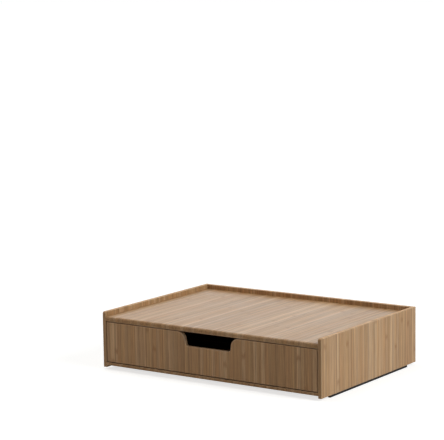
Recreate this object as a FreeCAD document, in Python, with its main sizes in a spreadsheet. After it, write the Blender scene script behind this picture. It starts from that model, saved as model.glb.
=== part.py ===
import FreeCAD, Part
import os

import Sketcher

# Monitor stand with one drawer, glued up from bamboo boards.
#
# Four panels and a floor make an open-fronted case: two sides, a back, and a top that is let in below
# their upper edges, so that the three edges stand up as a low rim. The drawer has no runners: it slides
# on the floor, between the sides. A black strip under each side lifts the case off the desk.
#
# The origin is the middle of the footprint, on the desk. X runs across the front, Y from the front to
# the back, Z up. All lengths are millimetres.

SIZES = [
    # The case
    ("stand_width", 350, "outside width, side to side"),
    ("stand_depth", 246, "outside depth, front to back"),
    ("side_height", 77, "height of the side and back panels"),
    ("panel", 5.5, "thickness of the side and back panels"),
    ("top_board", 6.5, "thickness of the top panel"),
    ("rim_height", 6.5, "how far the sides and back stand above the top panel"),
    ("floor_board", 4, "thickness of the floor panel"),
    ("floor_raise", 3, "from the lower edge of the sides up to the floor panel"),
    ("tongue", 3, "thickness of the top panel's tongues"),
    ("groove_depth", 2.5, "depth of the grooves for the top and floor panels"),
    ("groove_stop", 8, "from the front edge of the sides back to their grooves"),
    ("rabbet_depth", 3, "depth of the rabbets that hold the ends of the back panel"),
    ("rim_corner", 3, "radius of the upper front corners of the sides"),
    ("case_ease", 0.8, "radius of the sanded edges of the sides and back"),
    ("top_nosing", 2.8, "radius of the top panel's upper front edge"),
    ("opening_ease", 0.5, "radius of the panel edges above and below the drawer"),
    # The strips under the case
    ("foot_height", 3, "height of the strips"),
    ("foot_width", 3.5, "width of the strips"),
    ("foot_setback", 22.5, "from the front and back of the case to the ends of the strips"),
    # The drawer
    ("front_board", 5.5, "thickness of the drawer front"),
    ("drawer_board", 5, "thickness of the drawer sides and back"),
    ("tray_board", 3, "thickness of the drawer bottom"),
    ("tray_raise", 3, "from the lower edge of the drawer sides up to the drawer bottom"),
    ("tray_groove", 2.5, "depth of the grooves for the drawer bottom"),
    ("drawer_rabbet", 3, "depth of the rabbets at the drawer's four corners"),
    ("side_gap", 0.8, "play between the drawer and each side panel"),
    ("head_gap", 0.9, "gap above the drawer front"),
    ("sill_gap", 1, "gap below the drawer front"),
    ("running_gap", 0.3, "play under the drawer sides and behind the closed drawer"),
    ("wall_drop", 2, "from the top of the drawer front down to the tops of the drawer sides"),
    ("front_ease", 1.2, "radius of the sanded edges on the face of the drawer front"),
    ("drawer_ease", 0.5, "radius of the sanded edges inside the drawer"),
    # The finger pull, a notch in the upper edge of the drawer front
    ("pull_width", 71, "width of the notch's floor, before its corners are rounded"),
    ("pull_depth", 18.5, "from the top of the drawer front down to the notch's floor"),
    ("pull_flare", 10, "lean of the notch's walls, in degrees from upright"),
    ("pull_corner", 4, "radius at the foot of each wall"),
    ("pull_shoulder", 11, "radius at the head of each wall"),
]

# Places and lengths that pieces share, as formulas on the sheet
FRONT = "(-Sizes.stand_depth / 2)"
HALF_CLEAR = "(Sizes.stand_width / 2 - Sizes.panel)"
CLEAR_DEPTH = "(Sizes.stand_depth - Sizes.panel)"
HALF_TONGUED = f"({HALF_CLEAR} + Sizes.groove_depth)"
TONGUED_DEPTH = f"({CLEAR_DEPTH} + Sizes.groove_depth)"
HALF_BACK = f"({HALF_CLEAR} + Sizes.rabbet_depth)"
TOP_RISE = "(Sizes.side_height - Sizes.rim_height - Sizes.top_board)"
TONGUE_RISE = "((Sizes.top_board - Sizes.tongue) / 2)"
SLIDE_LEVEL = "(Sizes.foot_height + Sizes.floor_raise + Sizes.floor_board)"
DRAWER_LEVEL = f"({SLIDE_LEVEL} + Sizes.running_gap)"
HALF_DRAWER = f"({HALF_CLEAR} - Sizes.side_gap)"
HALF_INSIDE = f"({HALF_DRAWER} - Sizes.drawer_board)"
HALF_TRAY = f"({HALF_INSIDE} + Sizes.tray_groove)"
HALF_DRAWER_BACK = f"({HALF_INSIDE} + Sizes.drawer_rabbet)"
DRAWER_LENGTH = f"({CLEAR_DEPTH} - Sizes.running_gap)"
INSIDE_LENGTH = f"({DRAWER_LENGTH} - Sizes.front_board - Sizes.drawer_board)"
FRONT_HEIGHT = f"(Sizes.foot_height + {TOP_RISE} - {SLIDE_LEVEL} - Sizes.head_gap - Sizes.sill_gap)"
FRONT_LIFT = "(Sizes.sill_gap - Sizes.running_gap)"
WALL_HEIGHT = f"({FRONT_LIFT} + {FRONT_HEIGHT} - Sizes.wall_drop)"
WALL_LENGTH = f"({INSIDE_LENGTH} + Sizes.drawer_rabbet + Sizes.drawer_board)"
PULL_FLOOR = f"({FRONT_HEIGHT} - Sizes.pull_depth)"
HALF_PULL = "(Sizes.pull_width / 2)"
PULL_SPREAD = "(Sizes.pull_depth * tan(Sizes.pull_flare))"

# How far past the edge of the drawer front the notch is drawn
OVERCUT = 2
# Two lengths that differ by less than this are the same.
TOUCH = 1e-4

doc = FreeCAD.newDocument("monitor_stand")
sheet = doc.addObject("Spreadsheet::Sheet", "Sizes")
for row, (alias, number, meaning) in enumerate(SIZES, start=1):
    sheet.set(f"A{row}", meaning)
    sheet.set(f"B{row}", str(number))
    sheet.setAlias(f"B{row}", alias)
doc.recompute()


def value(formula):
    """The number that a formula on the sheet gives."""
    return float(sheet.evalExpression(formula))


def new_body(name, x, y, z):
    """An empty body, placed in the stand by three formulas."""
    body = doc.addObject("PartDesign::Body", name)
    body.Label = name
    for axis, formula in zip("xyz", (x, y, z)):
        body.setExpression(f"Placement.Base.{axis}", formula)
    return body


def rectangle(left, right, low, high):
    """The four corners of a rectangle whose sides are given by formulas."""
    return [(left, low), (right, low), (right, high), (left, high)]


def sketch_outline(body, name, plane, corners, lift):
    """Sketch straight lines through corners, each a pair of formulas that it stays tied to.

    The sketch lies on one of the body's own planes, raised along its normal by the lift.
    """
    sketch = body.newObject("Sketcher::SketchObject", f"{body.Name}_{name}_outline")
    for feature in body.Origin.OriginFeatures:
        if feature.Role == plane:
            sketch.AttachmentSupport = (feature, "")
    sketch.MapMode = "FlatFace"
    sketch.setExpression("AttachmentOffset.Base.z", lift)
    points = [FreeCAD.Vector(value(x), value(y), 0) for x, y in corners]
    count = len(points)
    for i in range(count):
        sketch.addGeometry(Part.LineSegment(points[i], points[(i + 1) % count]), False)
    for i in range(count):
        sketch.addConstraint(Sketcher.Constraint("Coincident", i, 2, (i + 1) % count, 1))
    for i, (x, y) in enumerate(corners):
        for kind, formula in (("DistanceX", x), ("DistanceY", y)):
            index = sketch.addConstraint(Sketcher.Constraint(kind, -1, 1, i, 1, value(formula)))
            sketch.setExpression(f"Constraints[{index}]", formula)
    return sketch


def pad(body, name, plane, corners, thickness, along_normal, lift="0"):
    """Add an outline's thickness, along the plane's normal or against it."""
    feature = body.newObject("PartDesign::Pad", f"{body.Name}_{name}")
    feature.Profile = sketch_outline(body, name, plane, corners, lift)
    feature.setExpression("Length", thickness)
    feature.Reversed = not along_normal
    feature.Refine = True
    doc.recompute()


def pocket(body, name, plane, corners, depth, along_normal):
    """Cut an outline, along the plane's normal or against it, and make sure that it cut."""
    before = body.Tip.Shape.Volume
    feature = body.newObject("PartDesign::Pocket", f"{body.Name}_{name}")
    feature.Profile = sketch_outline(body, name, plane, corners, "0")
    feature.setExpression("Length", depth)
    feature.Reversed = along_normal
    feature.Refine = True
    doc.recompute()
    if feature.Shape.Volume > before - TOUCH:
        raise RuntimeError(f"{feature.Name} removed nothing")


def lies_in(edge, place):
    """Whether an edge lies, from end to end, in each plane of a place: axis letter to formula."""
    box = edge.BoundBox
    spans = {"x": (box.XMin, box.XMax), "y": (box.YMin, box.YMax), "z": (box.ZMin, box.ZMax)}
    return all(abs(end - value(formula)) < TOUCH for axis, formula in place.items() for end in spans[axis])


def round_edges(body, name, radius, places):
    """Fillet the edges that lie in any of the places, and those that run on smoothly from them."""
    base = body.Tip
    edges = enumerate(base.Shape.Edges, start=1)
    names = [f"Edge{number}" for number, edge in edges if any(lies_in(edge, place) for place in places)]
    if len(names) < len(places):
        raise RuntimeError(f"{body.Name}_{name} found too few edges")
    feature = body.newObject("PartDesign::Fillet", f"{body.Name}_{name}")
    feature.Base = (base, names)
    feature.setExpression("Radius", radius)
    doc.recompute()


def tongued_outline():
    """The plan of a case panel with tongues at its sides and back, which stop short of its front."""
    return [
        (f"-{HALF_CLEAR}", "0"),
        (HALF_CLEAR, "0"),
        (HALF_CLEAR, "Sizes.groove_stop"),
        (HALF_TONGUED, "Sizes.groove_stop"),
        (HALF_TONGUED, TONGUED_DEPTH),
        (f"-{HALF_TONGUED}", TONGUED_DEPTH),
        (f"-{HALF_TONGUED}", "Sizes.groove_stop"),
        (f"-{HALF_CLEAR}", "Sizes.groove_stop"),
    ]


def groove_levels():
    """Each case groove's name and its lower and upper edge, from the lower edge of the sides."""
    tongue_low = f"({TOP_RISE} + {TONGUE_RISE})"
    return [
        ("top_groove", tongue_low, f"({tongue_low} + Sizes.tongue)"),
        ("floor_groove", "Sizes.floor_raise", "(Sizes.floor_raise + Sizes.floor_board)"),
    ]


def make_side_panel(name, hand):
    """A side of the case, left at hand -1 and right at 1: its inner face is the body's YZ plane."""
    body = new_body(name, f"{hand} * {HALF_CLEAR}", FRONT, "Sizes.foot_height")
    outward = hand > 0
    outline = rectangle("0", "Sizes.stand_depth", "0", "Sizes.side_height")
    pad(body, "board", "YZ_Plane", outline, "Sizes.panel", outward)
    rabbet = rectangle(CLEAR_DEPTH, "Sizes.stand_depth", "0", "Sizes.side_height")
    pocket(body, "back_rabbet", "YZ_Plane", rabbet, "Sizes.rabbet_depth", outward)
    for groove, low, high in groove_levels():
        outline = rectangle("Sizes.groove_stop", TONGUED_DEPTH, low, high)
        pocket(body, groove, "YZ_Plane", outline, "Sizes.groove_depth", outward)
    round_edges(body, "rim_corner", "Sizes.rim_corner", [{"y": "0", "z": "Sizes.side_height"}])
    outer_face = {"x": f"{hand} * Sizes.panel"}
    inner_rim = {"x": "0", "z": "Sizes.side_height"}
    round_edges(body, "ease", "Sizes.case_ease", [outer_face, inner_rim])
    return body


def make_back_panel(name):
    """The back of the case, its ends in the rabbets of the sides: its inner face is the XZ plane."""
    body = new_body(name, "0", f"{FRONT} + {CLEAR_DEPTH}", "Sizes.foot_height")
    outline = rectangle(f"-{HALF_BACK}", HALF_BACK, "0", "Sizes.side_height")
    pad(body, "board", "XZ_Plane", outline, "Sizes.panel", False)
    for groove, low, high in groove_levels():
        outline = rectangle(f"-{HALF_BACK}", HALF_BACK, low, high)
        pocket(body, groove, "XZ_Plane", outline, "Sizes.groove_depth", False)
    inner_rim = {"y": "0", "z": "Sizes.side_height"}
    outer_rim = {"y": "Sizes.panel", "z": "Sizes.side_height"}
    outer_foot = {"y": "Sizes.panel", "z": "0"}
    round_edges(body, "ease", "Sizes.case_ease", [inner_rim, outer_rim, outer_foot])
    return body


def make_top_panel(name):
    """The top, let in below the rim, with thinner tongues halfway up: its underside is the XY plane."""
    body = new_body(name, "0", FRONT, f"Sizes.foot_height + {TOP_RISE}")
    outline = rectangle(f"-{HALF_CLEAR}", HALF_CLEAR, "0", CLEAR_DEPTH)
    pad(body, "board", "XY_Plane", outline, "Sizes.top_board", True)
    pad(body, "tongues", "XY_Plane", tongued_outline(), "Sizes.tongue", True, TONGUE_RISE)
    round_edges(body, "nosing", "Sizes.top_nosing", [{"y": "0", "z": "Sizes.top_board"}])
    round_edges(body, "ease", "Sizes.opening_ease", [{"y": "0", "z": "0"}])
    return body


def make_floor_panel(name):
    """The floor of the case, its whole thickness in the grooves: its underside is the XY plane."""
    body = new_body(name, "0", FRONT, "Sizes.foot_height + Sizes.floor_raise")
    pad(body, "board", "XY_Plane", tongued_outline(), "Sizes.floor_board", True)
    upper_edge = {"y": "0", "z": "Sizes.floor_board"}
    lower_edge = {"y": "0", "z": "0"}
    round_edges(body, "ease", "Sizes.opening_ease", [upper_edge, lower_edge])
    return body


def make_foot_strip(name, hand):
    """The strip along the middle of a side panel's lower edge: its front end is the XZ plane."""
    middle = "(Sizes.stand_width / 2 - Sizes.panel / 2)"
    body = new_body(name, f"{hand} * {middle}", f"{FRONT} + Sizes.foot_setback", "0")
    length = "(Sizes.stand_depth - 2 * Sizes.foot_setback)"
    outline = rectangle("-Sizes.foot_width / 2", "Sizes.foot_width / 2", "0", length)
    pad(body, "strip", "XY_Plane", outline, "Sizes.foot_height", True)
    return body


def make_drawer_front(name):
    """The drawer front with its finger pull: its inner face is the XZ plane, its face is in front."""
    body = new_body(name, "0", f"{FRONT} + Sizes.front_board", f"{SLIDE_LEVEL} + Sizes.sill_gap")
    outline = rectangle(f"-{HALF_DRAWER}", HALF_DRAWER, "0", FRONT_HEIGHT)
    pad(body, "board", "XZ_Plane", outline, "Sizes.front_board", True)
    head = f"({FRONT_HEIGHT} + {OVERCUT})"
    half_head = f"({HALF_PULL} + {PULL_SPREAD} * (Sizes.pull_depth + {OVERCUT}) / Sizes.pull_depth)"
    notch = [
        (f"-{HALF_PULL}", PULL_FLOOR),
        (HALF_PULL, PULL_FLOOR),
        (half_head, head),
        (f"-{half_head}", head),
    ]
    pocket(body, "pull", "XZ_Plane", notch, "Sizes.front_board", True)
    corners = [{"x": f"{hand} * {HALF_PULL}", "z": PULL_FLOOR} for hand in (-1, 1)]
    round_edges(body, "pull_corners", "Sizes.pull_corner", corners)
    half_mouth = f"({HALF_PULL} + {PULL_SPREAD})"
    shoulders = [{"x": f"{hand} * {half_mouth}", "z": FRONT_HEIGHT} for hand in (-1, 1)]
    round_edges(body, "pull_shoulders", "Sizes.pull_shoulder", shoulders)
    round_edges(body, "face_ease", "Sizes.front_ease", [{"y": "-Sizes.front_board"}])
    round_edges(body, "inner_ease", "Sizes.drawer_ease", [{"y": "0", "z": FRONT_HEIGHT}])
    wall_top = f"({FRONT_HEIGHT} - Sizes.wall_drop)"
    for hand, side in ((-1, "left"), (1, "right")):
        rabbet = rectangle(f"{hand} * {HALF_INSIDE}", f"{hand} * {HALF_DRAWER}", "0", wall_top)
        pocket(body, f"{side}_rabbet", "XZ_Plane", rabbet, "Sizes.drawer_rabbet", True)
    groove_low = f"(Sizes.tray_raise - {FRONT_LIFT})"
    groove = rectangle(f"-{HALF_TRAY}", HALF_TRAY, groove_low, f"({groove_low} + Sizes.tray_board)")
    pocket(body, "tray_groove", "XZ_Plane", groove, "Sizes.tray_groove", True)
    return body


def make_drawer_side(name, hand):
    """A side of the drawer, left at hand -1 and right at 1: its inner face is the YZ plane."""
    behind_front = f"{FRONT} + Sizes.front_board - Sizes.drawer_rabbet"
    body = new_body(name, f"{hand} * {HALF_INSIDE}", behind_front, DRAWER_LEVEL)
    outward = hand > 0
    outline = rectangle("0", WALL_LENGTH, "0", WALL_HEIGHT)
    pad(body, "board", "YZ_Plane", outline, "Sizes.drawer_board", outward)
    rabbet_start = f"({WALL_LENGTH} - Sizes.drawer_board)"
    rabbet = rectangle(rabbet_start, WALL_LENGTH, "0", WALL_HEIGHT)
    pocket(body, "back_rabbet", "YZ_Plane", rabbet, "Sizes.drawer_rabbet", outward)
    groove_top = "(Sizes.tray_raise + Sizes.tray_board)"
    groove = rectangle("0", f"({rabbet_start} + Sizes.tray_groove)", "Sizes.tray_raise", groove_top)
    pocket(body, "tray_groove", "YZ_Plane", groove, "Sizes.tray_groove", outward)
    outer = f"{hand} * Sizes.drawer_board"
    upper_edges = [{"x": "0", "z": WALL_HEIGHT}, {"x": outer, "z": WALL_HEIGHT}]
    round_edges(body, "ease", "Sizes.drawer_ease", upper_edges + [{"x": outer, "z": "0"}])
    return body


def make_drawer_back(name):
    """The back of the drawer, its ends in rabbets: its inner face is the XZ plane."""
    body = new_body(name, "0", f"{FRONT} + Sizes.front_board + {INSIDE_LENGTH}", DRAWER_LEVEL)
    outline = rectangle(f"-{HALF_DRAWER_BACK}", HALF_DRAWER_BACK, "0", WALL_HEIGHT)
    pad(body, "board", "XZ_Plane", outline, "Sizes.drawer_board", False)
    groove_top = "(Sizes.tray_raise + Sizes.tray_board)"
    groove = rectangle(f"-{HALF_DRAWER_BACK}", HALF_DRAWER_BACK, "Sizes.tray_raise", groove_top)
    pocket(body, "tray_groove", "XZ_Plane", groove, "Sizes.tray_groove", False)
    upper_edges = [{"y": y, "z": WALL_HEIGHT} for y in ("0", "Sizes.drawer_board")]
    round_edges(body, "ease", "Sizes.drawer_ease", upper_edges)
    return body


def make_drawer_bottom(name):
    """The bottom of the drawer, in grooves all round: its underside is the XY plane."""
    front_edge = f"{FRONT} + Sizes.front_board - Sizes.tray_groove"
    body = new_body(name, "0", front_edge, f"{DRAWER_LEVEL} + Sizes.tray_raise")
    outline = rectangle(f"-{HALF_TRAY}", HALF_TRAY, "0", f"({INSIDE_LENGTH} + 2 * Sizes.tray_groove)")
    pad(body, "board", "XY_Plane", outline, "Sizes.tray_board", True)
    return body


pieces = [
    make_side_panel("side_panel_left", -1),
    make_side_panel("side_panel_right", 1),
    make_back_panel("back_panel"),
    make_top_panel("top_panel"),
    make_floor_panel("floor_panel"),
    make_foot_strip("foot_strip_left", -1),
    make_foot_strip("foot_strip_right", 1),
    make_drawer_front("drawer_front"),
    make_drawer_side("drawer_side_left", -1),
    make_drawer_side("drawer_side_right", 1),
    make_drawer_back("drawer_back"),
    make_drawer_bottom("drawer_bottom"),
]
doc.recompute()

for thing in doc.Objects:
    if "Invalid" in thing.State or "Error" in thing.State:
        raise RuntimeError(f"{thing.Name} failed: {thing.State}")
for piece in pieces:
    if piece.Shape.isNull() or not piece.Shape.isValid() or len(piece.Shape.Solids) != 1:
        raise RuntimeError(f"{piece.Label} is not one valid solid")

os.makedirs("parts", exist_ok=True)
for piece in pieces:
    piece.Shape.exportStep(f"parts/{piece.Label}.step")
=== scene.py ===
import math

import bpy
import numpy as np
from bpy.props import FloatProperty, FloatVectorProperty, PointerProperty
from mathutils import Matrix, Vector


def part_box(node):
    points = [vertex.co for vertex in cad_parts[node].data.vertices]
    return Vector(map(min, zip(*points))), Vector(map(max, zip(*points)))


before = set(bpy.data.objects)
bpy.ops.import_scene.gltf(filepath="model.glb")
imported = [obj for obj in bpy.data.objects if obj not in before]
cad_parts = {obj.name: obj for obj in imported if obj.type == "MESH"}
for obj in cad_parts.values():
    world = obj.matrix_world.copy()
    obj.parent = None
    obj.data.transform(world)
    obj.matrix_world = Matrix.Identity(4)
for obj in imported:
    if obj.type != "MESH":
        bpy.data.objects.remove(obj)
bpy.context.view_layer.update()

bl_info = {
    "name": "Bamboo Monitor Stand",
    "version": (1, 0, 0),
    "blender": (4, 5, 0),
    "location": "3D View > Sidebar > Stand",
    "description": "Finishes for a bamboo monitor stand with a drawer, and a small studio round it",
    "category": "Object",
}

# The box of the bare solids, which the dressed stand has to stay inside
MM = 0.001
# Axes of the stand: X across the front, Y from front to back, Z up
X, Y, Z = 0, 1, 2
# The drawer front's finger pull, as it is cut: its width at the floor, its depth, how far its walls
# lean outward, and the radii of its corners and shoulders
PULL_WIDTH = 71 * MM
PULL_DEPTH = 18.5 * MM
PULL_FLARE = math.radians(10)
PULL_CORNER = 4 * MM
PULL_SHOULDER = 11 * MM
# A smooth minimum or maximum rounds a corner to about a radius when its distance is this many radii.
ROUNDING = 1.6
# Sockets of a Mix node that mixes colours, by number, because sockets of other kinds have these names
MIX_FACTOR, MIX_A, MIX_B, MIX_RESULT = 0, 6, 7, 2
WHITE = (1, 1, 1, 1)

# Bamboo: single fibres are finer than this, and are drawn as coarse as they need to be to show.
FIBRE_WIDTH = 0.4 * MM
FIBRE_LENGTH = 18 * MM
STREAK_WIDTH = 1.8 * MM
STREAK_LENGTH = 160 * MM
CLOUD_WIDTH = 70 * MM
# The fibres wander over this width, once in about this length.
WANDER_WIDTH = 1.5 * MM
WANDER_LENGTH = 60 * MM
# How unevenly strips and bundles are spaced, from 0 for a regular row to 1
STRIP_UNEVENNESS = 0.55
BUNDLE_UNEVENNESS = 0.9
# How far one board's patterns lie from the next one's, so that no two boards are alike
STRIP_SHIFT = 17.3
FIBRE_SHIFT = (31.7, 12.9, 5.3)
# Where these tones stand when the strips are sorted from the darkest, 0, to the palest, 1
WARM_AT = 0.2
MIDDLE_AT = 0.45
PALE_AT = 0.75
# How much lighter the wood gets from each pattern's lowest value to its highest, as a share
DENSE_SIDE_LIGHT = -0.2
STREAK_LIGHT = 1.15
FIBRE_LIGHT = 0.7
CLOUD_LIGHT = 0.2
# End grain is a little darker than the boards' faces. On the rims, whose end grain faces up, it is
# paler instead: partly because they are sanded most, and partly as a painted sheen of the light from
# above.
END_LIGHT = -0.12
RIM_SANDING_AND_SHEEN = 0.42
# Cosines of the angle between a face's outward direction and the grain, where end grain begins and
# where it is full, and how much rougher it is
END_FROM = 0.5
END_FULL = 0.95
END_EXTRA_ROUGHNESS = 0.15
# Radii of a bundle's dark core and of its faint rim, as shares of the bundles' spacing
BUNDLE_CORE = 0.2
BUNDLE_RIM = 0.55
# How strongly the dark marks show: bundles on a strip's open and dense sides, and glue lines
OPEN_SIDE_SHARE = 0.1
DENSE_SIDE_SHARE = 0.5
GLUE_SHARE = 0.5
# How far a knuckle's mark frays along the fibres, as a multiple of its length
KNUCKLE_FRAY = 2.5
# How strongly the paler edge colour shows right at an edge, where the clouds are palest. It is partly
# wear and partly a painted highlight on the eased edges.
RUBBED_AND_HIGHLIGHT_SHARE = 0.9
# How much the lacquer's roughness varies in all
LACQUER_SWING = 0.14
LACQUER_IOR = 1.42
GRAIN_RELIEF = 0.15 * MM
GRAIN_RELIEF_STRENGTH = 0.35

# Foam: radii at which a cell's wall begins and is full, as shares of the cells' size
CELL_WALL_FROM = 0.15
CELL_WALL_FULL = 0.7
DUST_CLOUD_WIDTH = 25 * MM
DUST_SHARE = 0.35
CELL_ROUGHNESS = 0.95
CELL_WALL_ROUGHNESS = 0.8
FOAM_IOR = 1.3
FOAM_RELIEF = 0.2 * MM
FOAM_RELIEF_STRENGTH = 0.6

# Floor: the paper's tooth, which is drawn as coarse as it needs to be to show
TOOTH_WIDTH = 2 * MM
TOOTH_RELIEF = 0.1 * MM
TOOTH_RELIEF_STRENGTH = 0.1

# Lamps: the name, which is also that of the property with the power, then the place, the width and
# the name of the property with the colour
LAMPS = (
    ("key", (2.3, 0.35, 1.5), 1.4, "daylight"),
    ("fill", (2.3, -0.5, 0.6), 1.0, "daylight"),
    ("front", (-1.1, -0.8, 0.45), 0.6, "lamplight"),
    ("top", (-0.6, -0.1, 2.0), 1.0, "daylight"),
    ("back", (-1.4, 2.1, 1.2), 1.6, "daylight"),
)
# Width of the camera's sensor in millimetres, and how far it sees in metres
SENSOR_WIDTH = 36
CAMERA_REACH = 100


def linear(colour):
    """The linear red, green, blue and alpha of a hex colour, by the formula that defines sRGB."""
    channels = np.array([int(colour[i:i + 2], 16) for i in (1, 3, 5)]) / 255
    low = channels / 12.92
    high = ((channels + 0.055) / 1.055) ** 2.4
    return (*np.where(channels > 0.04045, high, low).tolist(), 1.0)


class BambooLook(bpy.types.PropertyGroup):
    """Edge-grain bamboo board: strips of cane wall stood on edge and glued side by side."""

    strip_width: FloatProperty(
        name="Strip width", description="Mean width of the strips a board is glued up from",
        default=6 * MM, min=2 * MM, max=20 * MM, precision=4, subtype="DISTANCE", unit="LENGTH")
    bundle_spacing: FloatProperty(
        name="Bundle spacing", description="Distance between the dark fibre bundles in the cane",
        default=0.9 * MM, min=0.3 * MM, max=4 * MM, precision=4, subtype="DISTANCE", unit="LENGTH")
    bundle_length: FloatProperty(
        name="Bundle length", description="How far a bundle can be followed along the grain",
        default=45 * MM, min=5 * MM, max=200 * MM, precision=4, subtype="DISTANCE", unit="LENGTH")
    knuckle_spacing: FloatProperty(
        name="Knuckle spacing", description="Distance between the knuckles of one cane",
        default=400 * MM, min=60 * MM, max=600 * MM, precision=4, subtype="DISTANCE", unit="LENGTH")
    knuckle_length: FloatProperty(
        name="Knuckle length", description="Length of a knuckle's mark along the grain",
        default=6 * MM, min=1 * MM, max=20 * MM, precision=4, subtype="DISTANCE", unit="LENGTH")
    glue_line: FloatProperty(
        name="Glue line", description="Width of the dark line between two strips",
        default=0.45 * MM, min=0, max=2 * MM, precision=5, subtype="DISTANCE", unit="LENGTH")
    # Width of the pale edge band, which is partly worn lacquer and partly a painted highlight on the
    # eased edges
    edge_wear_and_highlight: FloatProperty(
        name="Edge wear", description="Width of the rubbed band along a board's edges",
        default=1.1 * MM, min=0, max=5 * MM, precision=4, subtype="DISTANCE", unit="LENGTH")
    palest: FloatVectorProperty(
        name="Palest strip", description="Colour of the palest strips",
        default=linear("#BA9872"), size=4, min=0, max=1, subtype="COLOR")
    pale: FloatVectorProperty(
        name="Pale strip", description="Colour of the pale strips",
        default=linear("#AF8B65"), size=4, min=0, max=1, subtype="COLOR")
    middle: FloatVectorProperty(
        name="Middle strip", description="Colour of most of the strips",
        default=linear("#A9845A"), size=4, min=0, max=1, subtype="COLOR")
    warm: FloatVectorProperty(
        name="Warm strip", description="Colour of the orange strips",
        default=linear("#A98056"), size=4, min=0, max=1, subtype="COLOR")
    dark: FloatVectorProperty(
        name="Dark strip", description="Colour of the darkest strips",
        default=linear("#9B774F"), size=4, min=0, max=1, subtype="COLOR")
    bundle: FloatVectorProperty(
        name="Fibre bundle", description="Colour of the fibre bundles and glue lines",
        default=linear("#7A4F2B"), size=4, min=0, max=1, subtype="COLOR")
    knuckle: FloatVectorProperty(
        name="Knuckle", description="Colour of the knuckles",
        default=linear("#80501F"), size=4, min=0, max=1, subtype="COLOR")
    # The pale edge colour is partly wear and partly a painted highlight on the eased edges
    rubbed_and_highlight: FloatVectorProperty(
        name="Rubbed edge", description="Colour of the rubbed edges",
        default=linear("#C5AB8F"), size=4, min=0, max=1, subtype="COLOR")
    roughness: FloatProperty(
        name="Roughness", description="Roughness of the satin lacquer",
        default=0.48, min=0, max=1, subtype="FACTOR")


class FoamLook(bpy.types.PropertyGroup):
    """Closed-cell foam strip with an open cut face."""

    colour: FloatVectorProperty(
        name="Foam", description="Colour of the foam",
        default=linear("#1A1512"), size=4, min=0, max=1, subtype="COLOR")
    dust: FloatVectorProperty(
        name="Dust", description="Colour of the dust on the foam",
        default=linear("#3B3732"), size=4, min=0, max=1, subtype="COLOR")
    cell: FloatProperty(
        name="Cell size", description="Width of the foam's cells",
        default=0.5 * MM, min=0.1 * MM, max=3 * MM, precision=5, subtype="DISTANCE", unit="LENGTH")


class StudioLook(bpy.types.PropertyGroup):
    """A pale floor, soft lamps and the camera."""

    floor: FloatVectorProperty(
        name="Floor", description="Colour of the floor",
        default=linear("#C0C0BD"), size=4, min=0, max=1, subtype="COLOR")
    floor_width: FloatProperty(
        name="Floor width", description="Length of each side of the floor",
        default=40, min=1, max=200, subtype="DISTANCE", unit="LENGTH")
    glow: FloatProperty(
        name="Glow", description="How bright the floor by the stand is in itself, where 1 is white",
        default=0.7, min=0, max=1, subtype="FACTOR")
    shade_reach: FloatProperty(
        name="Shade reach", description="How far from the stand's middle the floor has only this glow",
        default=0.5, min=0, max=10, subtype="DISTANCE", unit="LENGTH")
    white_from: FloatProperty(
        name="White from", description="How far from the stand's middle the floor is plain white",
        default=2.5, min=0, max=20, subtype="DISTANCE", unit="LENGTH")
    ambient: FloatProperty(
        name="Ambient", description="Strength of the even light from all round",
        default=0.1, min=0, max=2)
    daylight: FloatVectorProperty(
        name="Daylight", description="Colour of the lamps, apart from the warm one",
        default=linear("#F7FCFF"), size=4, min=0, max=1, subtype="COLOR")
    lamplight: FloatVectorProperty(
        name="Lamplight", description="Colour of the warm lamp in front",
        default=linear("#FFDDB8"), size=4, min=0, max=1, subtype="COLOR")
    key: FloatProperty(
        name="Key lamp", description="Power of the lamp on the right",
        default=42, min=0, max=500, unit="POWER")
    fill: FloatProperty(
        name="Fill lamp", description="Power of the low lamp on the right",
        default=12, min=0, max=500, unit="POWER")
    front: FloatProperty(
        name="Front lamp", description="Power of the small warm lamp low in front on the left",
        default=2.6, min=0, max=500, unit="POWER")
    top: FloatProperty(
        name="Top lamp", description="Power of the lamp above",
        default=15, min=0, max=500, unit="POWER")
    back: FloatProperty(
        name="Back lamp", description="Power of the wide lamp behind, whose sheen the top shows",
        default=9, min=0, max=500, unit="POWER")
    camera_place: FloatVectorProperty(
        name="Camera", description="Place of the camera",
        default=(1.30013, -1.94732, 0.54123), size=3, subtype="TRANSLATION", unit="LENGTH")
    camera_turn: FloatProperty(
        name="Turn", description="How far the camera is turned left from looking at the front",
        default=math.radians(34.925), subtype="ANGLE", unit="ROTATION")
    camera_tilt: FloatProperty(
        name="Tilt", description="How far the camera looks down",
        default=math.radians(8.21), subtype="ANGLE", unit="ROTATION")
    camera_roll: FloatProperty(
        name="Roll", description="How far the camera leans to its left",
        default=math.radians(-0.851), subtype="ANGLE", unit="ROTATION")
    camera_lens: FloatProperty(
        name="Lens", description="Focal length in millimetres, on a sensor 36 mm wide",
        default=141.58, min=10, max=500)


def fresh_material(name):
    """An empty node material of that name."""
    material = bpy.data.materials.get(name) or bpy.data.materials.new(name)
    material.use_nodes = True
    material.node_tree.nodes.clear()
    return material


def add(tree, kind, settings=None, inputs=None):
    """Add a node: settings are its properties, and inputs its sockets, each with a value or a link."""
    node = tree.nodes.new(kind)
    for name, setting in (settings or {}).items():
        setattr(node, name, setting)
    for name, given in (inputs or {}).items():
        if isinstance(given, bpy.types.NodeSocket):
            tree.links.new(given, node.inputs[name])
        else:
            node.inputs[name].default_value = given
    return node


def dress(node, material):
    """Give a solid one material all over."""
    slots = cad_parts[node].data.materials
    slots.clear()
    slots.append(material)


def along_grain(tree, place, shift, grain, wide, long):
    """Coordinates for a texture with features that wide across the grain and that long along it."""
    scale = [1 / wide] * 3
    scale[grain] = 1 / long
    return add(tree, "ShaderNodeMapping", None,
               {"Vector": place, "Location": shift, "Scale": scale}).outputs[0]


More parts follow.
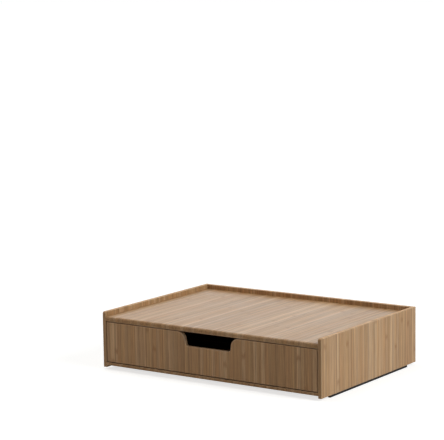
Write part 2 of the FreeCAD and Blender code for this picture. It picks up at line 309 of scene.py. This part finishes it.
def edge_distance(tree, place, node):
    """How near a point is to the nearest edge of a board's box.

    The distances to the box's three nearest faces are sorted, and the middle one is the answer, because
    an edge is where two faces meet.
    """
    low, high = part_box(node)
    centre = (low + high) / 2
    half = (high - low) / 2
    offset = add(tree, "ShaderNodeVectorMath", {"operation": "SUBTRACT"}, {0: place, 1: centre})
    reach = add(tree, "ShaderNodeVectorMath", {"operation": "ABSOLUTE"}, {0: offset.outputs[0]})
    depth = add(tree, "ShaderNodeVectorMath", {"operation": "SUBTRACT"},
                {0: half, 1: reach.outputs[0]})
    face = add(tree, "ShaderNodeSeparateXYZ", None, {0: depth.outputs[0]}).outputs
    nearer = add(tree, "ShaderNodeMath", {"operation": "MINIMUM"}, {0: face[X], 1: face[Y]})
    farther = add(tree, "ShaderNodeMath", {"operation": "MAXIMUM"}, {0: face[X], 1: face[Y]})
    second = add(tree, "ShaderNodeMath", {"operation": "MINIMUM"}, {0: farther.outputs[0], 1: face[Z]})
    return add(tree, "ShaderNodeMath", {"operation": "MAXIMUM"},
               {0: nearer.outputs[0], 1: second.outputs[0]}).outputs[0]


def drawer_front_edge_distance(tree, place, node):
    """How near a point is to the nearest edge of the drawer front or to its finger pull.

    Seen from in front, the distance to the notch is the greater of those to its slanted wall and its
    floor, and the distance to the cut outline is the lesser of that and the one to the board's upper
    edge. Both are smooth, as the corners are round. The pale band round the pull is partly worn by
    fingers and partly a painted highlight where its eased edges catch light. It goes through the
    board's whole thickness, so how deep a point lies behind the face doesn't count there.
    """
    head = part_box(node)[1][Z]
    floor = head - PULL_DEPTH
    axes = add(tree, "ShaderNodeSeparateXYZ", None, {0: place}).outputs
    aside = add(tree, "ShaderNodeMath", {"operation": "ABSOLUTE"}, {0: axes[X]})
    lean = add(tree, "ShaderNodeMath", {"operation": "MULTIPLY_ADD"}, {
        0: axes[Z], 1: -math.sin(PULL_FLARE),
        2: floor * math.sin(PULL_FLARE) - PULL_WIDTH / 2 * math.cos(PULL_FLARE)})
    wall = add(tree, "ShaderNodeMath", {"operation": "MULTIPLY_ADD"},
               {0: aside.outputs[0], 1: math.cos(PULL_FLARE), 2: lean.outputs[0]})
    below = add(tree, "ShaderNodeMath", {"operation": "SUBTRACT"}, {0: floor, 1: axes[Z]})
    under_head = add(tree, "ShaderNodeMath", {"operation": "SUBTRACT"}, {0: head, 1: axes[Z]})
    notch = add(tree, "ShaderNodeMath", {"operation": "SMOOTH_MAX"},
                {0: wall.outputs[0], 1: below.outputs[0], 2: ROUNDING * PULL_CORNER})
    outline = add(tree, "ShaderNodeMath", {"operation": "SMOOTH_MIN"},
                  {0: notch.outputs[0], 1: under_head.outputs[0], 2: ROUNDING * PULL_SHOULDER})
    return add(tree, "ShaderNodeMath", {"operation": "MINIMUM"},
               {0: outline.outputs[0], 1: edge_distance(tree, place, node)}).outputs[0]


def bamboo_laminate(node, look, grain, across, seed, end_tone_and_sheen, find_edges):
    """Edge-grain bamboo laminate, caramelised by steam, planed, sanded and given a satin lacquer.

    The eye sees upright strips, each of one tone and a little denser and darker towards what was the
    outside of the cane, with thin dark fibre bundles along the grain that end as dots on the end grain,
    and here and there the brown smear of a knuckle. The lacquer gives a broad soft sheen.
    """
    material = fresh_material(f"bamboo_{node}")
    tree = material.node_tree
    coordinates = add(tree, "ShaderNodeTexCoord")
    place = coordinates.outputs["Object"]
    axes = add(tree, "ShaderNodeSeparateXYZ", None, {0: place}).outputs

    # Strips: each has a tone, a dense side and a place for its knuckles, all at random
    strip_place = add(tree, "ShaderNodeMath", {"operation": "MULTIPLY_ADD"},
                      {0: axes[across], 1: 1 / look.strip_width, 2: STRIP_SHIFT * seed}).outputs[0]
    spacing = {"W": strip_place, "Scale": 1, "Randomness": STRIP_UNEVENNESS}
    strip = add(tree, "ShaderNodeTexVoronoi", {"voronoi_dimensions": "1D"}, spacing)
    joint = add(tree, "ShaderNodeTexVoronoi",
                {"voronoi_dimensions": "1D", "feature": "DISTANCE_TO_EDGE"}, spacing)
    chance = add(tree, "ShaderNodeSeparateColor", None, {0: strip.outputs["Color"]}).outputs
    tones = add(tree, "ShaderNodeValToRGB", None, {0: chance["Red"]})
    ramp = tones.color_ramp.elements
    ramp[0].color = look.dark
    ramp[1].color = look.palest
    for position, tone in ((WARM_AT, look.warm), (MIDDLE_AT, look.middle), (PALE_AT, look.pale)):
        ramp.new(position).color = tone
    offset = add(tree, "ShaderNodeMath", {"operation": "SUBTRACT"},
                 {0: strip_place, 1: strip.outputs["W"]})
    coin = add(tree, "ShaderNodeMath", {"operation": "SUBTRACT"}, {0: chance["Green"], 1: 0.5})
    facing = add(tree, "ShaderNodeMath", {"operation": "SIGN"}, {0: coin.outputs[0]})
    dense = add(tree, "ShaderNodeMath", {"operation": "MULTIPLY_ADD", "use_clamp": True},
                {0: offset.outputs[0], 1: facing.outputs[0], 2: 0.5}).outputs[0]

    # The fibres wander a little to each side, while the strips are planed straight.
    drift = add(tree, "ShaderNodeTexNoise", None,
                {"Vector": place, "Scale": 1 / WANDER_LENGTH, "Detail": 1})
    wandered = add(tree, "ShaderNodeVectorMath", {"operation": "MULTIPLY_ADD"},
                   {0: drift.outputs["Color"], 1: (WANDER_WIDTH,) * 3, 2: place}).outputs[0]
    shift = [step * seed for step in FIBRE_SHIFT]
    bundle_place = along_grain(tree, wandered, shift, grain, look.bundle_spacing, look.bundle_length)
    bundles = add(tree, "ShaderNodeTexVoronoi", None,
                  {"Vector": bundle_place, "Scale": 1, "Randomness": BUNDLE_UNEVENNESS})
    core = add(tree, "ShaderNodeMapRange", {"interpolation_type": "SMOOTHSTEP"}, {
        "Value": bundles.outputs["Distance"], "From Min": BUNDLE_CORE, "From Max": BUNDLE_RIM,
        "To Min": 1, "To Max": 0})
    fibre_place = along_grain(tree, wandered, shift, grain, FIBRE_WIDTH, FIBRE_LENGTH)
    fibre = add(tree, "ShaderNodeTexNoise", None,
                {"Vector": fibre_place, "Scale": 1, "Detail": 2}).outputs["Fac"]
    streak_place = along_grain(tree, wandered, shift, grain, STREAK_WIDTH, STREAK_LENGTH)
    streak = add(tree, "ShaderNodeTexNoise", None,
                 {"Vector": streak_place, "Scale": 1, "Detail": 2}).outputs["Fac"]
    cloud = add(tree, "ShaderNodeTexNoise", None,
                {"Vector": place, "Scale": 1 / CLOUD_WIDTH, "Detail": 2}).outputs["Fac"]

    # Lightness: the strips' dense sides, streaks, fibres, broad clouds and end grain
    facing_out = add(tree, "ShaderNodeSeparateXYZ", None, {0: coordinates.outputs["Normal"]}).outputs
    squareness = add(tree, "ShaderNodeMath", {"operation": "ABSOLUTE"}, {0: facing_out[grain]})
    end_grain = add(tree, "ShaderNodeMapRange", {"interpolation_type": "SMOOTHSTEP"}, {
        "Value": squareness.outputs[0], "From Min": END_FROM, "From Max": END_FULL}).outputs[0]
    swings = (
        (dense, DENSE_SIDE_LIGHT),
        (streak, STREAK_LIGHT),
        (fibre, FIBRE_LIGHT),
        (cloud, CLOUD_LIGHT),
    )
    lightness = 1 - sum(weight for pattern, weight in swings) / 2
    # The end grain's weight is its own tone, and on the rims it is also a painted sheen
    for pattern, weight in (*swings, (end_grain, end_tone_and_sheen)):
        lightness = add(tree, "ShaderNodeMath", {"operation": "MULTIPLY_ADD"},
                        {0: pattern, 1: weight, 2: lightness}).outputs[0]
    toned = add(tree, "ShaderNodeHueSaturation", None,
                {"Value": lightness, "Color": tones.outputs["Color"]}).outputs[0]

    # Dark marks: fibre bundles, which are darker on the dense side, then knuckles and glue lines
    bundle_share = add(tree, "ShaderNodeMapRange", None,
                       {"Value": dense, "To Min": OPEN_SIDE_SHARE, "To Max": DENSE_SIDE_SHARE})
    bundle_mark = add(tree, "ShaderNodeMath", {"operation": "MULTIPLY"},
                      {0: core.outputs[0], 1: bundle_share.outputs[0]}).outputs[0]
    knuckle_place = add(tree, "ShaderNodeMath", {"operation": "MULTIPLY_ADD"},
                        {0: axes[grain], 1: 1 / look.knuckle_spacing, 2: chance["Blue"]})
    knuckle_turn = add(tree, "ShaderNodeMath", {"operation": "FRACT"}, {0: knuckle_place.outputs[0]})
    knuckle_offset = add(tree, "ShaderNodeMath", {"operation": "SUBTRACT"},
                         {0: knuckle_turn.outputs[0], 1: 0.5})
    knuckle_frayed = add(tree, "ShaderNodeMath", {"operation": "MULTIPLY_ADD"}, {
        0: fibre, 1: KNUCKLE_FRAY * look.knuckle_length / look.knuckle_spacing,
        2: knuckle_offset.outputs[0]})
    knuckle_reach = add(tree, "ShaderNodeMath", {"operation": "ABSOLUTE"},
                        {0: knuckle_frayed.outputs[0]})
    knuckle_core = add(tree, "ShaderNodeMapRange", {"interpolation_type": "SMOOTHSTEP"}, {
        "Value": knuckle_reach.outputs[0], "From Min": 0,
        "From Max": look.knuckle_length / look.knuckle_spacing, "To Min": 1, "To Max": 0})
    knuckle_mark = add(tree, "ShaderNodeMath", {"operation": "MULTIPLY", "use_clamp": True},
                       {0: knuckle_core.outputs[0], 1: streak}).outputs[0]
    glue_mark = add(tree, "ShaderNodeMapRange", {"interpolation_type": "SMOOTHSTEP"}, {
        "Value": joint.outputs["Distance"], "From Min": 0,
        "From Max": look.glue_line / look.strip_width, "To Min": GLUE_SHARE, "To Max": 0}).outputs[0]
    marks = (
        (bundle_mark, look.bundle),
        (knuckle_mark, look.knuckle),
        (glue_mark, look.bundle),
    )
    colour = toned
    for mark, tint in marks:
        colour = add(tree, "ShaderNodeMix", {"data_type": "RGBA"},
                     {MIX_FACTOR: mark, MIX_A: colour, MIX_B: tint}).outputs[MIX_RESULT]

    # Paler edges: partly sanded, where the lacquer is thinner and hands rub, and partly a painted
    # highlight where the eased edges catch light
    nearness = find_edges(tree, place, node)
    edge = add(tree, "ShaderNodeMapRange", {"interpolation_type": "SMOOTHSTEP"}, {
        "Value": nearness, "From Min": 0, "From Max": look.edge_wear_and_highlight,
        "To Min": RUBBED_AND_HIGHLIGHT_SHARE, "To Max": 0})
    rubbed_and_highlight = add(tree, "ShaderNodeMath", {"operation": "MULTIPLY"},
                 {0: edge.outputs[0], 1: cloud}).outputs[0]
    colour = add(tree, "ShaderNodeMix", {"data_type": "RGBA"},
                 {MIX_FACTOR: rubbed_and_highlight, MIX_A: colour, MIX_B: look.rubbed_and_highlight}).outputs[MIX_RESULT]

    # Relief: open pores over the bundles and a hair of a step at each glue line
    hollow = add(tree, "ShaderNodeMath", {"operation": "ADD"}, {0: bundle_mark, 1: glue_mark})
    height = add(tree, "ShaderNodeMath", {"operation": "SUBTRACT"}, {0: fibre, 1: hollow.outputs[0]})
    relief = add(tree, "ShaderNodeBump", None, {
        "Strength": GRAIN_RELIEF_STRENGTH, "Distance": GRAIN_RELIEF, "Height": height.outputs[0]})

    # The lacquer's roughness swings about its mean with the clouds, and it soaks into the end grain.
    gloss = add(tree, "ShaderNodeMath", {"operation": "MULTIPLY_ADD"},
                {0: cloud, 1: LACQUER_SWING, 2: look.roughness - LACQUER_SWING / 2})
    roughness = add(tree, "ShaderNodeMath", {"operation": "MULTIPLY_ADD", "use_clamp": True},
                    {0: end_grain, 1: END_EXTRA_ROUGHNESS, 2: gloss.outputs[0]})
    shader = add(tree, "ShaderNodeBsdfPrincipled", None, {
        "Base Color": colour, "Roughness": roughness.outputs[0], "IOR": LACQUER_IOR,
        "Normal": relief.outputs[0]})
    add(tree, "ShaderNodeOutputMaterial", None, {"Surface": shader.outputs[0]})
    return material


def cut_foam(look):
    """Black EVA foam tape, die cut: dead matt, with the cut cells as fine pits, and dusty in places."""
    material = fresh_material("eva_foam")
    tree = material.node_tree
    place = add(tree, "ShaderNodeTexCoord").outputs["Object"]
    cells = add(tree, "ShaderNodeTexVoronoi", None, {"Vector": place, "Scale": 1 / look.cell})
    wall = add(tree, "ShaderNodeMapRange", {"interpolation_type": "SMOOTHSTEP"}, {
        "Value": cells.outputs["Distance"],
        "From Min": CELL_WALL_FROM, "From Max": CELL_WALL_FULL}).outputs[0]
    cloud = add(tree, "ShaderNodeTexNoise", None,
                {"Vector": place, "Scale": 1 / DUST_CLOUD_WIDTH, "Detail": 3})
    dusty = add(tree, "ShaderNodeMath", {"operation": "MULTIPLY"},
                {0: cloud.outputs["Fac"], 1: DUST_SHARE})
    colour = add(tree, "ShaderNodeMix", {"data_type": "RGBA"}, {
        MIX_FACTOR: dusty.outputs[0], MIX_A: look.colour, MIX_B: look.dust}).outputs[MIX_RESULT]
    roughness = add(tree, "ShaderNodeMapRange", None,
                    {"Value": wall, "To Min": CELL_ROUGHNESS, "To Max": CELL_WALL_ROUGHNESS})
    relief = add(tree, "ShaderNodeBump", None,
                 {"Strength": FOAM_RELIEF_STRENGTH, "Distance": FOAM_RELIEF, "Height": wall})
    shader = add(tree, "ShaderNodeBsdfPrincipled", None, {
        "Base Color": colour, "Roughness": roughness.outputs[0], "IOR": FOAM_IOR,
        "Normal": relief.outputs[0]})
    add(tree, "ShaderNodeOutputMaterial", None, {"Surface": shader.outputs[0]})
    return material


class StandOperator:
    """What the stand's operators share."""

    bl_options = {"REGISTER", "UNDO"}

    def laminate(self, context, node, grain, across, seed,
                 end_tone_and_sheen=END_LIGHT, find_edges=edge_distance):
        """Dress one board in bamboo strips that run along one axis and are lined up along another."""
        look = context.scene.stand_bamboo
        dress(node, bamboo_laminate(node, look, grain, across, seed, end_tone_and_sheen, find_edges))


class STAND_OT_side_panels(StandOperator, bpy.types.Operator):
    """Dress the side panels: their strips stand upright"""

    bl_idname = "stand.side_panels"
    bl_label = "Side Panels"

    def execute(self, context):
        # The rims' upward end grain is paler: partly sanding, partly a painted sheen
        self.laminate(context, "side_panel_left", grain=Z, across=Y, seed=1, end_tone_and_sheen=RIM_SANDING_AND_SHEEN)
        self.laminate(context, "side_panel_right", grain=Z, across=Y, seed=14, end_tone_and_sheen=RIM_SANDING_AND_SHEEN)
        return {"FINISHED"}


class STAND_OT_back_panel(StandOperator, bpy.types.Operator):
    """Dress the back panel: its strips stand upright"""

    bl_idname = "stand.back_panel"
    bl_label = "Back Panel"

    def execute(self, context):
        # The rim's upward end grain is paler: partly sanding, partly a painted sheen
        self.laminate(context, "back_panel", grain=Z, across=X, seed=3, end_tone_and_sheen=RIM_SANDING_AND_SHEEN)
        return {"FINISHED"}


class STAND_OT_top_panel(StandOperator, bpy.types.Operator):
    """Dress the top panel: its strips run from front to back and show their ends in front"""

    bl_idname = "stand.top_panel"
    bl_label = "Top Panel"

    def execute(self, context):
        self.laminate(context, "top_panel", grain=Y, across=X, seed=4)
        return {"FINISHED"}


class STAND_OT_floor_panel(StandOperator, bpy.types.Operator):
    """Dress the floor panel as the top panel"""

    bl_idname = "stand.floor_panel"
    bl_label = "Floor Panel"

    def execute(self, context):
        self.laminate(context, "floor_panel", grain=Y, across=X, seed=5)
        return {"FINISHED"}


class STAND_OT_foot_strips(StandOperator, bpy.types.Operator):
    """Dress the strips under the case in black foam"""

    bl_idname = "stand.foot_strips"
    bl_label = "Foot Strips"

    def execute(self, context):
        foam = cut_foam(context.scene.stand_foam)
        for node in ("foot_strip_left", "foot_strip_right"):
            dress(node, foam)
        return {"FINISHED"}


class STAND_OT_drawer_front(StandOperator, bpy.types.Operator):
    """Dress the drawer front: its strips stand upright"""

    bl_idname = "stand.drawer_front"
    bl_label = "Drawer Front"

    def execute(self, context):
        self.laminate(context, "drawer_front", grain=Z, across=X, seed=6,
                      find_edges=drawer_front_edge_distance)
        return {"FINISHED"}


class STAND_OT_drawer_walls(StandOperator, bpy.types.Operator):
    """Dress the drawer's sides and back: their strips lie along them"""

    bl_idname = "stand.drawer_walls"
    bl_label = "Drawer Walls"

    def execute(self, context):
        self.laminate(context, "drawer_side_left", grain=Y, across=Z, seed=7)
        self.laminate(context, "drawer_side_right", grain=Y, across=Z, seed=8)
        self.laminate(context, "drawer_back", grain=X, across=Z, seed=9)
        return {"FINISHED"}


class STAND_OT_drawer_bottom(StandOperator, bpy.types.Operator):
    """Dress the drawer's bottom: its strips run across it"""

    bl_idname = "stand.drawer_bottom"
    bl_label = "Drawer Bottom"

    def execute(self, context):
        self.laminate(context, "drawer_bottom", grain=X, across=Y, seed=10)
        return {"FINISHED"}


def place_in_scene(context, name, data):
    """An object of that name in the scene, in place of any older one."""
    older = bpy.data.objects.get(name)
    if older:
        bpy.data.objects.remove(older)
    thing = bpy.data.objects.new(name, data)
    context.scene.collection.objects.link(thing)
    return thing


def seen_as_white(tree):
    """1 for a ray from the camera or a reflection, to which the surroundings are white, and else 0."""
    path = add(tree, "ShaderNodeLightPath").outputs
    bounced = add(tree, "ShaderNodeMath", {"operation": "MAXIMUM"},
                  {0: path["Is Glossy Ray"], 1: path["Is Transmission Ray"]})
    return add(tree, "ShaderNodeMath", {"operation": "MAXIMUM"},
               {0: path["Is Camera Ray"], 1: bounced.outputs[0]}).outputs[0]


def paper_floor(look):
    """Smooth paper floor: matt, with a fine tooth, and fading to plain white away from the stand."""
    material = fresh_material("paper_floor")
    tree = material.node_tree
    place = add(tree, "ShaderNodeTexCoord").outputs["Object"]
    tooth = add(tree, "ShaderNodeTexNoise", None,
                {"Vector": place, "Scale": 1 / TOOTH_WIDTH, "Detail": 3})
    relief = add(tree, "ShaderNodeBump", None, {
        "Strength": TOOTH_RELIEF_STRENGTH, "Distance": TOOTH_RELIEF, "Height": tooth.outputs["Fac"]})
    paper = add(tree, "ShaderNodeBsdfDiffuse", None,
                {"Color": look.floor, "Normal": relief.outputs[0]})
    distance = add(tree, "ShaderNodeVectorMath", {"operation": "LENGTH"}, {0: place}).outputs["Value"]
    fade = add(tree, "ShaderNodeMapRange", {"interpolation_type": "SMOOTHSTEP"}, {
        "Value": distance, "From Min": look.shade_reach, "From Max": look.white_from,
        "To Min": look.glow, "To Max": 1})
    share = add(tree, "ShaderNodeMath", {"operation": "MULTIPLY"},
                {0: seen_as_white(tree), 1: fade.outputs[0]})
    glow = add(tree, "ShaderNodeEmission", None, {"Color": WHITE, "Strength": share.outputs[0]})
    surface = add(tree, "ShaderNodeAddShader", None, {0: paper.outputs[0], 1: glow.outputs[0]})
    add(tree, "ShaderNodeOutputMaterial", None, {"Surface": surface.outputs[0]})
    return material


def light_room(context, look):
    """An even pale world, which is plain white to the camera and in reflections."""
    world = bpy.data.worlds.get("studio") or bpy.data.worlds.new("studio")
    world.use_nodes = True
    tree = world.node_tree
    tree.nodes.clear()
    even = add(tree, "ShaderNodeBackground", None, {"Color": WHITE, "Strength": look.ambient})
    white = add(tree, "ShaderNodeBackground", None, {"Color": WHITE, "Strength": 1})
    sky = add(tree, "ShaderNodeMixShader", None,
              {0: seen_as_white(tree), 1: even.outputs[0], 2: white.outputs[0]})
    add(tree, "ShaderNodeOutputWorld", None, {"Surface": sky.outputs[0]})
    context.scene.world = world


def soft_lamp(context, name, place, width, power, colour):
    """A square lamp that faces the middle of the stand's footprint."""
    lamp = bpy.data.lights.new(name, "AREA")
    lamp.color = colour[:3]
    lamp.size = width
    lamp.energy = power
    holder = place_in_scene(context, name, lamp)
    towards_stand = (-Vector(place)).to_track_quat("-Z", "Y").to_matrix().to_4x4()
    holder.matrix_world = Matrix.Translation(place) @ towards_stand


class STAND_OT_studio(StandOperator, bpy.types.Operator):
    """Set up the floor, the lamps and the camera"""

    bl_idname = "stand.studio"
    bl_label = "Studio"

    def execute(self, context):
        look = context.scene.stand_studio
        corners = look.floor_width / 2 * np.array([(-1, -1, 0), (1, -1, 0), (1, 1, 0), (-1, 1, 0)])
        sheet = bpy.data.meshes.new("studio_floor")
        sheet.from_pydata(corners.tolist(), [], [(0, 1, 2, 3)])
        sheet.materials.append(paper_floor(look))
        place_in_scene(context, "studio_floor", sheet)
        light_room(context, look)
        for name, place, width, colour in LAMPS:
            soft_lamp(context, f"{name}_lamp", place, width, getattr(look, name), getattr(look, colour))

        camera = bpy.data.cameras.new("camera")
        camera.lens = look.camera_lens
        camera.sensor_width = SENSOR_WIDTH
        camera.clip_end = CAMERA_REACH
        holder = place_in_scene(context, "camera", camera)
        holder.matrix_world = (
            Matrix.Translation(look.camera_place)
            @ Matrix.Rotation(look.camera_turn, 4, "Z")
            @ Matrix.Rotation(math.pi / 2 - look.camera_tilt, 4, "X")
            @ Matrix.Rotation(look.camera_roll, 4, "Z")
        )
        context.scene.camera = holder
        context.scene.view_settings.view_transform = "Standard"
        return {"FINISHED"}


STEPS = (
    STAND_OT_side_panels,
    STAND_OT_back_panel,
    STAND_OT_top_panel,
    STAND_OT_floor_panel,
    STAND_OT_foot_strips,
    STAND_OT_drawer_front,
    STAND_OT_drawer_walls,
    STAND_OT_drawer_bottom,
    STAND_OT_studio,
)


class STAND_PT_panel(bpy.types.Panel):
    """The stand's sizes, colours and steps"""

    bl_idname = "STAND_PT_panel"
    bl_label = "Monitor Stand"
    bl_space_type = "VIEW_3D"
    bl_region_type = "UI"
    bl_category = "Stand"

    def draw(self, context):
        for step in STEPS:
            self.layout.operator(step.bl_idname)
        for group in ("stand_bamboo", "stand_foam", "stand_studio"):
            look = getattr(context.scene, group)
            box = self.layout.box()
            for name in look.__annotations__:
                box.prop(look, name)


CLASSES = (BambooLook, FoamLook, StudioLook, *STEPS, STAND_PT_panel)


def register():
    for each in CLASSES:
        bpy.utils.register_class(each)
    bpy.types.Scene.stand_bamboo = PointerProperty(type=BambooLook)
    bpy.types.Scene.stand_foam = PointerProperty(type=FoamLook)
    bpy.types.Scene.stand_studio = PointerProperty(type=StudioLook)


def unregister():
    del bpy.types.Scene.stand_studio
    del bpy.types.Scene.stand_foam
    del bpy.types.Scene.stand_bamboo
    for each in reversed(CLASSES):
        bpy.utils.unregister_class(each)


def main():
    """Dress every piece and set up the studio."""
    register()
    bpy.ops.stand.side_panels()
    bpy.ops.stand.back_panel()
    bpy.ops.stand.top_panel()
    bpy.ops.stand.floor_panel()
    bpy.ops.stand.foot_strips()
    bpy.ops.stand.drawer_front()
    bpy.ops.stand.drawer_walls()
    bpy.ops.stand.drawer_bottom()
    bpy.ops.stand.studio()


if __name__ == "__main__":
    main()
